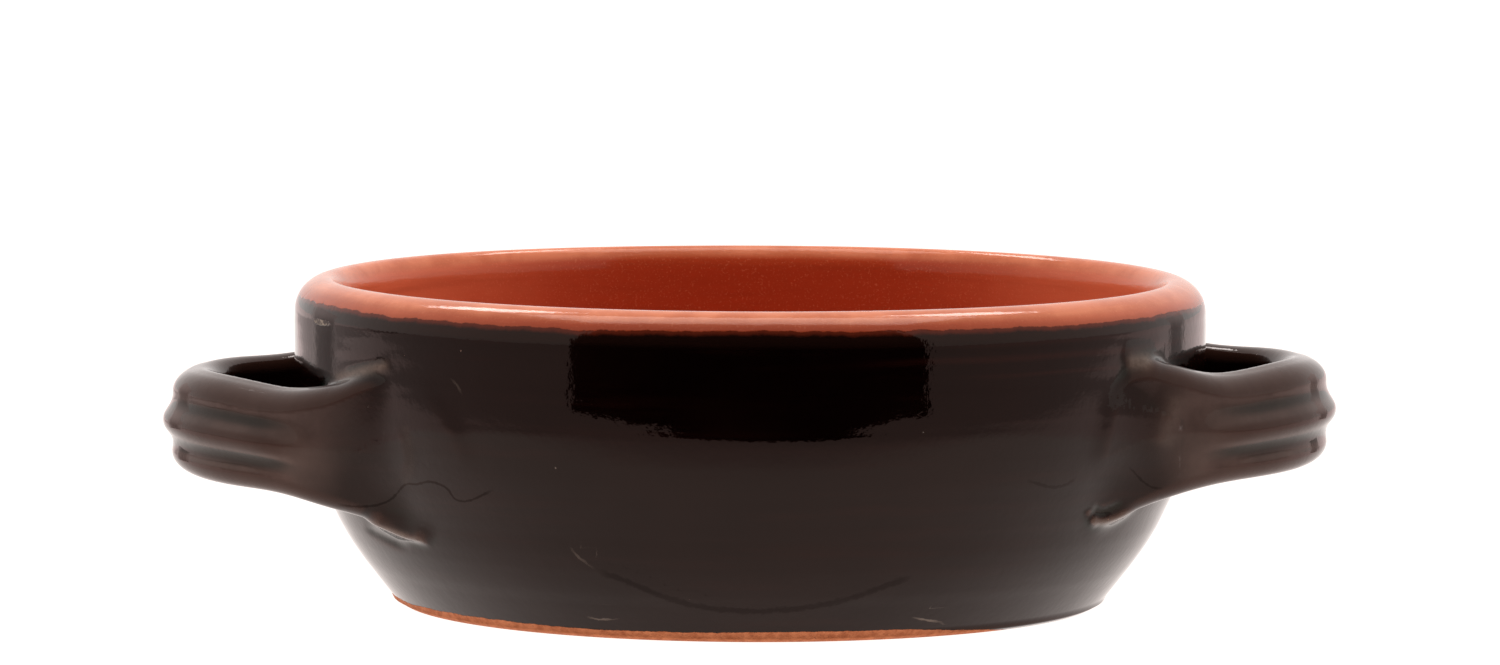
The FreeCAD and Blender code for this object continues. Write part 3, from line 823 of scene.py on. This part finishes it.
    # relief: orange peel at three scales, ripples round the rim, tiny pits, a fine seam, grain on bare clay
    h = N.math("ADD", N.math("MULTIPLY", N.noise(co, 260.0, 2.0, 0.5), 0.018), N.math("MULTIPLY", N.noise(co, 90.0, 2.0, 0.5), 0.050))
    h = N.math("ADD", h, N.math("MULTIPLY", N.noise(co, 850.0, 2.0, 0.55), 0.020))
    around_rim = N.new("ShaderNodeVectorMath", operation="MULTIPLY", ins={0: co, 1: (190.0, 190.0, 1300.0)}).outputs[0]
    h = N.math("ADD", h, N.math("MULTIPLY", N.math("MULTIPLY", N.noise(around_rim, 1.0, 3.0, 0.6), is_rim), 0.032))
    h = N.math("SUBTRACT", h, N.math("MULTIPLY", pit, 0.02))
    h = N.math("SUBTRACT", h, N.math("MULTIPLY", N.math("MULTIPLY", line, N.math("ABSOLUTE", seam_on)), 0.025))
    h = N.math("SUBTRACT", h, N.math("MULTIPLY", chip, 0.06))
    h = N.math("ADD", h, N.math("MULTIPLY", is_rim, 0.02))
    h = N.math("ADD", h, N.math("MULTIPLY", N.math("MULTIPLY", is_foot, grain), 0.10))
    bump = N.new("ShaderNodeBump", ins={"Strength": 1.0, "Distance": 0.001, "Height": h})
    N.put(bsdf.inputs["Normal"], bump.outputs[0])
    return mat


body.data.materials.append(glaze_material())
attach(body, "root")
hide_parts("casserole")


# ================================================================ studio
def plane(name, corners, mat):
    me = bpy.data.meshes.new(name)
    me.from_pydata([tuple(c) for c in corners], [], [tuple(range(len(corners)))])
    me.materials.append(mat)
    o = bpy.data.objects.new(name, me)
    bpy.context.scene.collection.objects.link(o)
    o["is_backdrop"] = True
    return o


def simple(name, color, rough=1.0, glow=0.0):
    m = bpy.data.materials.new(name)
    m.use_nodes = True
    b = m.node_tree.nodes["Principled BSDF"]
    b.inputs["Base Color"].default_value = rgb(*color)
    b.inputs["Roughness"].default_value = rough
    b.inputs["Specular IOR Level"].default_value = 0.0
    if glow:
        b.inputs["Emission Color"].default_value = rgb(1, 1, 1)
        b.inputs["Emission Strength"].default_value = glow
    return m


def floor_material():
    """A white table lit from under, brightest round and behind the pot, less bright in front of it."""
    m = simple("floor_white", (0.08, 0.08, 0.08), 1.0, 1.0)
    N = Nodes(m.node_tree)
    xyz = N.new("ShaderNodeSeparateXYZ", ins={0: N.new("ShaderNodeTexCoord").outputs["Object"]}).outputs
    side = N.math("MAXIMUM", N.math("SUBTRACT", N.math("ABSOLUTE", xyz[0]), 0.12), 0.0)
    t = N.math("SUBTRACT", N.math("ADD", xyz[1], 0.145), N.math("MULTIPLY", side, 0.43))
    glow = N.ramp(t, -0.04, 0.04, 0.64, 1.12)
    # a dimmer patch of glow behind and left of the pot, outside the picture: it darkens the glaze's reflection of the
    # floor there
    left = N.math("MULTIPLY", N.math("MULTIPLY", N.ramp(xyz[0], -0.24, -0.31), N.ramp(xyz[1], 0.20, 0.28)), N.ramp(xyz[1], 0.80, 0.60))
    glow = N.math("SUBTRACT", glow, N.math("MULTIPLY", left, 0.45))
    N.put(m.node_tree.nodes["Principled BSDF"].inputs["Emission Strength"], glow)
    # warm beyond the sides of the picture, where only the glaze sees it
    out = N.math("SUBTRACT", N.math("ABSOLUTE", xyz[0]), N.math("MULTIPLY", N.math("ADD", xyz[1], 1.336), 0.0984))
    warm = N.math("MAXIMUM", N.ramp(out, 0.02, 0.07), N.ramp(xyz[1], -0.115, -0.150))
    N.put(m.node_tree.nodes["Principled BSDF"].inputs["Emission Color"], N.mix(warm, rgb(1.05, 0.95, 0.91), rgb(1.0, 0.80, 0.775)))
    return m


floor = plane("floor", [(-8, -8, 0), (8, -8, 0), (8, 12, 0), (-8, 12, 0)], floor_material())
dark = simple("card_black", (0.001, 0.001, 0.001))

# the dark studio behind the camera and the dark cloth on the table in front of it
yb, half = -1.45, 1.415
plane("card_front", [(-half, yb, 0.0), (half, yb, 0.0), (half, yb, 2.2), (-half, yb, 2.2)], dark)
plane("card_table", [(-half, yb, 0.001), (half, yb, 0.001), (0.200, -0.242, 0.001), (0.150, -0.236, 0.001), (0.100, -0.208, 0.001),
                     (0.060, -0.189, 0.001), (0.020, -0.183, 0.001), (-0.020, -0.188, 0.001), (-0.067, -0.210, 0.001), (-0.110, -0.222, 0.001),
                     (-0.145, -0.237, 0.001), (-0.200, -0.242, 0.001)], dark)
# two grey flags just outside the picture, behind the pot's sides; they glow rather than being lit, dimmest low in the
# middle and brighter towards their edges and top, and show only as grey bands in the glaze's reflection
for s in (-1, 1):
    x0, x1 = (0.180, 0.272) if s < 0 else (0.194, 0.256)
    m = simple("card_grey", (0.05, 0.04, 0.04), 1.0, 0.28)
    N = Nodes(m.node_tree)
    xyz = N.new("ShaderNodeSeparateXYZ", ins={0: N.new("ShaderNodeTexCoord").outputs["Object"]}).outputs
    off = N.math("ABSOLUTE", N.math("SUBTRACT", xyz[0], s * (x0 + x1) / 2))
    fade = N.math("MAXIMUM", N.ramp(off, (x1 - x0) * 0.24, (x1 - x0) * 0.5), N.ramp(xyz[2], 0.020, 0.088))
    N.put(m.node_tree.nodes["Principled BSDF"].inputs["Emission Strength"], N.ramp(fade, 0.0, 1.0, 0.36, 0.90, smooth=False))
    N.put(m.node_tree.nodes["Principled BSDF"].inputs["Emission Color"], rgb(1.0, 0.84, 0.81))
    plane("card_side_" + ("l" if s < 0 else "r"), [(s * x1, 0.120, 0.0), (s * x0, 0.120, 0.0), (s * x0, 0.120, 0.090), (s * x1, 0.120, 0.090)], m)

world = bpy.data.worlds.new("studio")
world.use_nodes = True
world.node_tree.nodes["Background"].inputs[0].default_value = rgb(1.0, 0.94, 0.92)
world.node_tree.nodes["Background"].inputs[1].default_value = 0.98
bpy.context.scene.world = world

light = bpy.data.lights.new("softbox_top", "AREA")
light.shape = "RECTANGLE"
light.size, light.size_y = 1.2, 0.7
light.energy = 11.0
lo = bpy.data.objects.new("softbox_top", light)
lo.location = (0.0, 0.10, 1.3)
lo.rotation_euler = (math.radians(-4), 0, 0)
bpy.context.scene.collection.objects.link(lo)
for name, at in (("softbox_back_l", Vector((-0.43, 0.71, 1.00))), ("softbox_back_r", Vector((0.39, 0.64, 1.10)))):
    light = bpy.data.lights.new(name, "AREA")
    light.shape = "RECTANGLE"
    light.size, light.size_y = 0.26, 0.26
    light.energy = 2.2
    lb = bpy.data.objects.new(name, light)
    lb.location = at
    lb.rotation_euler = (at - Vector((0, 0, 0.05))).to_track_quat("Z", "Y").to_euler()
    bpy.context.scene.collection.objects.link(lb)

# ================================================================ camera, as in the photograph
cam = bpy.data.cameras.new("camera")
cam.sensor_fit = "HORIZONTAL"
cam.sensor_width = 36.0
cam.lens = 182.885
cam.clip_start = 0.05
cam.clip_end = 50.0
cam.dof.use_dof = False
co = bpy.data.objects.new("camera", cam)
bpy.context.scene.collection.objects.link(co)
pitch, roll = 0.0859948, -0.0042657
F = Vector((0, math.cos(pitch), -math.sin(pitch)))
U = Vector((0, math.sin(pitch), math.cos(pitch)))
R = Vector((1, 0, 0))
R2 = R * math.cos(roll) - U * math.sin(roll)
U2 = R * math.sin(roll) + U * math.cos(roll)
M = Matrix((( R2.x, U2.x, -F.x, 0.0), (R2.y, U2.y, -F.y, -1.33574), (R2.z, U2.z, -F.z, 0.16225), (0, 0, 0, 1)))
co.matrix_world = M
bpy.context.scene.camera = co
bpy.context.scene.view_settings.view_transform = "Standard"
bpy.context.scene.view_settings.look = "None"

size_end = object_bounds()
plain = lambda b: [[float(c) for c in p] for p in b]
{"cad": plain(size_start), "scene": plain(size_end), "triangles": int(len(Q) * 2 + len(T))}
